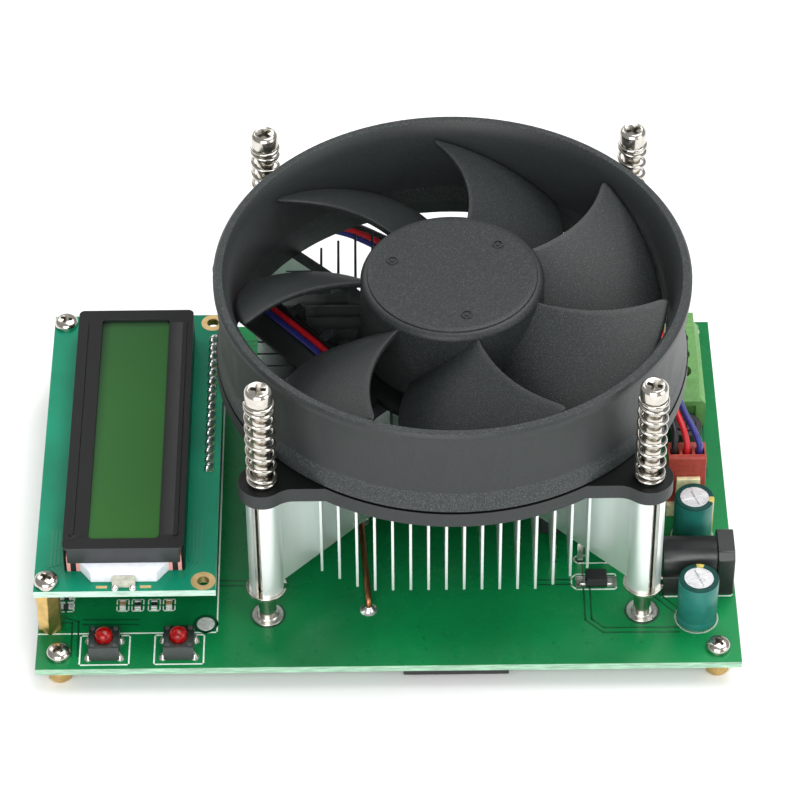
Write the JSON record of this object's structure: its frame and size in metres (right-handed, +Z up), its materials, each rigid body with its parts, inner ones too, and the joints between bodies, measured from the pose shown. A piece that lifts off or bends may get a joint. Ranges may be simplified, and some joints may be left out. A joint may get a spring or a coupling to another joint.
{
  "type": "dc electronic load",
  "caption": "Open-board dc electronic load with a character display on posts, a fan-cooled heat sink under spring screws, push buttons, screw terminals and a barrel jack.",
  "frame": {"origin": "on the surface it stands on, under the middle of the main board", "axes": "+X to the connector edge, +Y to the back, +Z up"},
  "size_m": [0.14, 0.099, 0.0691],
  "materials": {
    "board_green": "glossy solder mask over glass fibre",
    "display_green": "glossy solder mask over glass fibre",
    "brass": "machined",
    "nickel": "bright nickel plate",
    "tin": "tinned",
    "bezel_black": "satin black",
    "window_green": "unlit green display glass",
    "guide_white": "clear white",
    "strip_pink": "silicone",
    "lamp_olive": "lamp body",
    "black_plastic": "moulded",
    "aluminium": "extruded",
    "pad_grey": "soft sheet",
    "copper": "bare copper",
    "fan_charcoal": "fine grained",
    "lamination": "stacked sheet",
    "winding": "enamelled wire",
    "bronze": "sintered",
    "magnet": "bonded magnet",
    "steel": "ground",
    "plate_black": "black coat",
    "wire_black": "insulation",
    "wire_red": "insulation",
    "wire_blue": "insulation",
    "plug_red": "moulded",
    "header_cream": "moulded",
    "terminal_green": "moulded",
    "sleeve_teal": "shrink sleeve",
    "can_silver": "drawn",
    "chip_black": "moulded",
    "chip_tan": "ceramic",
    "button_red": "glossy",
    "cover_grey": "dull sheet"
  },
  "bodies": {
    "board": {"main_board": "board_green", "board_feet": "brass", "pan_screws": "nickel", "lcd_posts": "brass", "lcd_board": "display_green", "lcd_bezel": "bezel_black", "lcd_glass": "window_green", "lcd_guide": "guide_white", "lcd_strips": "strip_pink", "lcd_lamp": "lamp_olive", "lcd_header": "black_plastic", "lcd_pins": "tin", "heat_sink": "aluminium", "thermal_pads": "pad_grey", "transistors": "chip_black", "transistor_tabs": "copper", "transistor_leads": "tin", "shunt_wire": "copper", "solder_joints": "tin", "through_pins": "tin", "fan_frame": "fan_charcoal", "stator_core": "lamination", "stator_coils": "winding", "fan_bearing": "bronze", "motor_board": "board_green", "spring_screws": "nickel", "springs": "nickel", "screw_clips": "nickel", "bushings": "tin", "back_plate": "plate_black", "fan_wire_black": "wire_black", "fan_wire_red": "wire_red", "fan_wire_blue": "wire_blue", "fan_plug": "plug_red", "fan_header": "header_cream", "header_pins": "tin", "terminal_block": "terminal_green", "terminal_cages": "nickel", "trimmer_body": "black_plastic", "jack_body": "black_plastic", "jack_pin": "nickel", "capacitor_sleeves": "sleeve_teal", "capacitor_cans": "can_silver", "smd_diode": "chip_black", "smd_resistors": "chip_black", "smd_capacitors": "chip_tan", "chips": "chip_black", "switch_bodies": "black_plastic", "switch_covers": "cover_grey", "switch_legs": "tin"},
    "rotor": {"fan_rotor": "fan_charcoal", "rotor_magnet": "magnet", "rotor_shaft": "steel"},
    "left_button": {"button_left": "button_red"},
    "right_button": {"button_right": "button_red"},
    "contrast_knob": {"trimmer_rotor": "black_plastic"},
    "clamp_screw_1": {"terminal_screw_1": "nickel"},
    "clamp_screw_2": {"terminal_screw_2": "nickel"},
    "clamp_screw_3": {"terminal_screw_3": "nickel"},
    "clamp_screw_4": {"terminal_screw_4": "nickel"}
  },
  "joints": [
    {"name": "fan_spin", "type": "hinge", "parent": "board", "child": "rotor", "pos_m": [0.0134, 0.002, 0.0531], "axis": [0, 0, 1], "continuous": true},
    {"name": "left_press", "type": "slide", "parent": "board", "child": "left_button", "axis": [0, 0, -1], "range_m": [0, 0.00025], "stiffness_N_per_m": 6000, "springref_m": -0.0002},
    {"name": "right_press", "type": "slide", "parent": "board", "child": "right_button", "axis": [0, 0, -1], "range_m": [0, 0.00025], "stiffness_N_per_m": 6000, "springref_m": -0.0002},
    {"name": "contrast_turn", "type": "hinge", "parent": "board", "child": "contrast_knob", "pos_m": [0.0625, 0.0132, 0.0101], "axis": [0, 0, 1], "range_deg": [-105, 105]},
    {"name": "clamp_turn_1", "type": "hinge", "parent": "board", "child": "clamp_screw_1", "pos_m": [0.0623, 0.0233, 0.0131], "axis": [0, 0, 1], "continuous": true},
    {"name": "clamp_turn_2", "type": "hinge", "parent": "board", "child": "clamp_screw_2", "pos_m": [0.0623, 0.02838, 0.0131], "axis": [0, 0, 1], "continuous": true},
    {"name": "clamp_turn_3", "type": "hinge", "parent": "board", "child": "clamp_screw_3", "pos_m": [0.0623, 0.03346, 0.0131], "axis": [0, 0, 1], "continuous": true},
    {"name": "clamp_turn_4", "type": "hinge", "parent": "board", "child": "clamp_screw_4", "pos_m": [0.0623, 0.03854, 0.0131], "axis": [0, 0, 1], "continuous": true}
  ]
}
